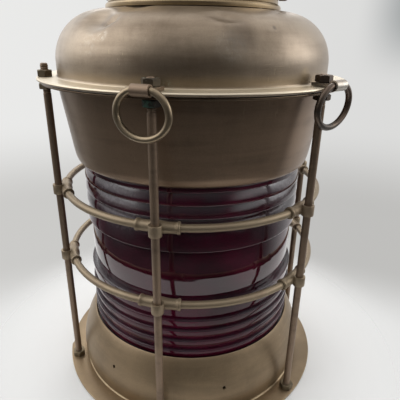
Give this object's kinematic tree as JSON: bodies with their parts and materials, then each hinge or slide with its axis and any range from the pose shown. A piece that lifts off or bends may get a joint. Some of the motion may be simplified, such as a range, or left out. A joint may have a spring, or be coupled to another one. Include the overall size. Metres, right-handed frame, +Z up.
{
  "type": "marine lantern",
  "caption": "Brass signal lantern: a ribbed red drum lens in a cage of rods and rings, with a bell base, domed vented hood, swinging bail and hoist rings.",
  "frame": {"origin": "on the lantern's axis, at the underside of its base", "axes": "+Z up along the lantern's axis, -Y towards the guard rod that carries the first hoist ring"},
  "size_m": [0.269, 0.2796, 0.4478],
  "materials": {
    "casing": "satin, aged",
    "dark": "dark, tarnished",
    "guard": "satin, aged",
    "worn": "rubbed, golden",
    "seal": "matte",
    "red_lens": "polished, ribbed",
    "bulb_glass": "clear",
    "porcelain": "glazed"
  },
  "bodies": {
    "lantern": {"base_flange": "casing", "base_bell": "casing", "lower_lens_gasket": "seal", "fresnel_lens": "red_lens", "upper_lens_gasket": "seal", "upper_bowl": "casing", "bowl_flange": "casing", "flange_gasket": "seal", "hood": "casing", "vent_collar": "worn", "vent_gallery": "worn", "vent_cap": "casing", "bail_ear_1": "dark", "bail_ear_2": "dark", "guard_ring_lower": "guard", "cross_fitting_lower_1": "guard", "cross_fitting_lower_2": "guard", "cross_fitting_lower_3": "guard", "cross_fitting_lower_4": "guard", "cross_fitting_lower_5": "guard", "cross_fitting_lower_6": "guard", "guard_ring_upper": "guard", "cross_fitting_upper_1": "guard", "cross_fitting_upper_2": "guard", "cross_fitting_upper_3": "guard", "cross_fitting_upper_4": "guard", "cross_fitting_upper_5": "guard", "cross_fitting_upper_6": "guard", "guard_rod_1": "guard", "top_nut_1": "dark", "under_nut_1": "dark", "foot_nut_1": "dark", "guard_rod_2": "guard", "top_nut_2": "dark", "under_nut_2": "dark", "foot_nut_2": "dark", "guard_rod_3": "guard", "top_nut_3": "dark", "under_nut_3": "dark", "foot_nut_3": "dark", "guard_rod_4": "guard", "top_nut_4": "dark", "under_nut_4": "dark", "foot_nut_4": "dark", "guard_rod_5": "guard", "top_nut_5": "dark", "under_nut_5": "dark", "foot_nut_5": "dark", "guard_rod_6": "guard", "top_nut_6": "dark", "under_nut_6": "dark", "foot_nut_6": "dark", "ring_strap_1": "guard", "ring_strap_2": "guard", "lamp_stand": "dark", "lamp_holder": "porcelain", "lamp_bulb": "bulb_glass"},
    "bail": {"bail": "guard"},
    "hoist_ring_1": {"hoist_ring_1": "guard"},
    "hoist_ring_2": {"hoist_ring_2": "guard"}
  },
  "joints": [
    {"name": "bail_swing", "type": "hinge", "parent": "lantern", "child": "bail", "pos_m": [0, 0, 0.357], "axis": [1, 0, 0], "range_deg": [-95, 95]},
    {"name": "front_ring_swing", "type": "hinge", "parent": "lantern", "child": "hoist_ring_1", "pos_m": [-0.00252, -0.13886, 0.29145], "axis": [-0.9781, 0.2079, 0], "range_deg": [-10, 210]},
    {"name": "side_ring_swing", "type": "hinge", "parent": "lantern", "child": "hoist_ring_2", "pos_m": [0.11941, -0.07113, 0.29145], "axis": [-0.6293, -0.7771, 0], "range_deg": [-5, 204]}
  ]
}
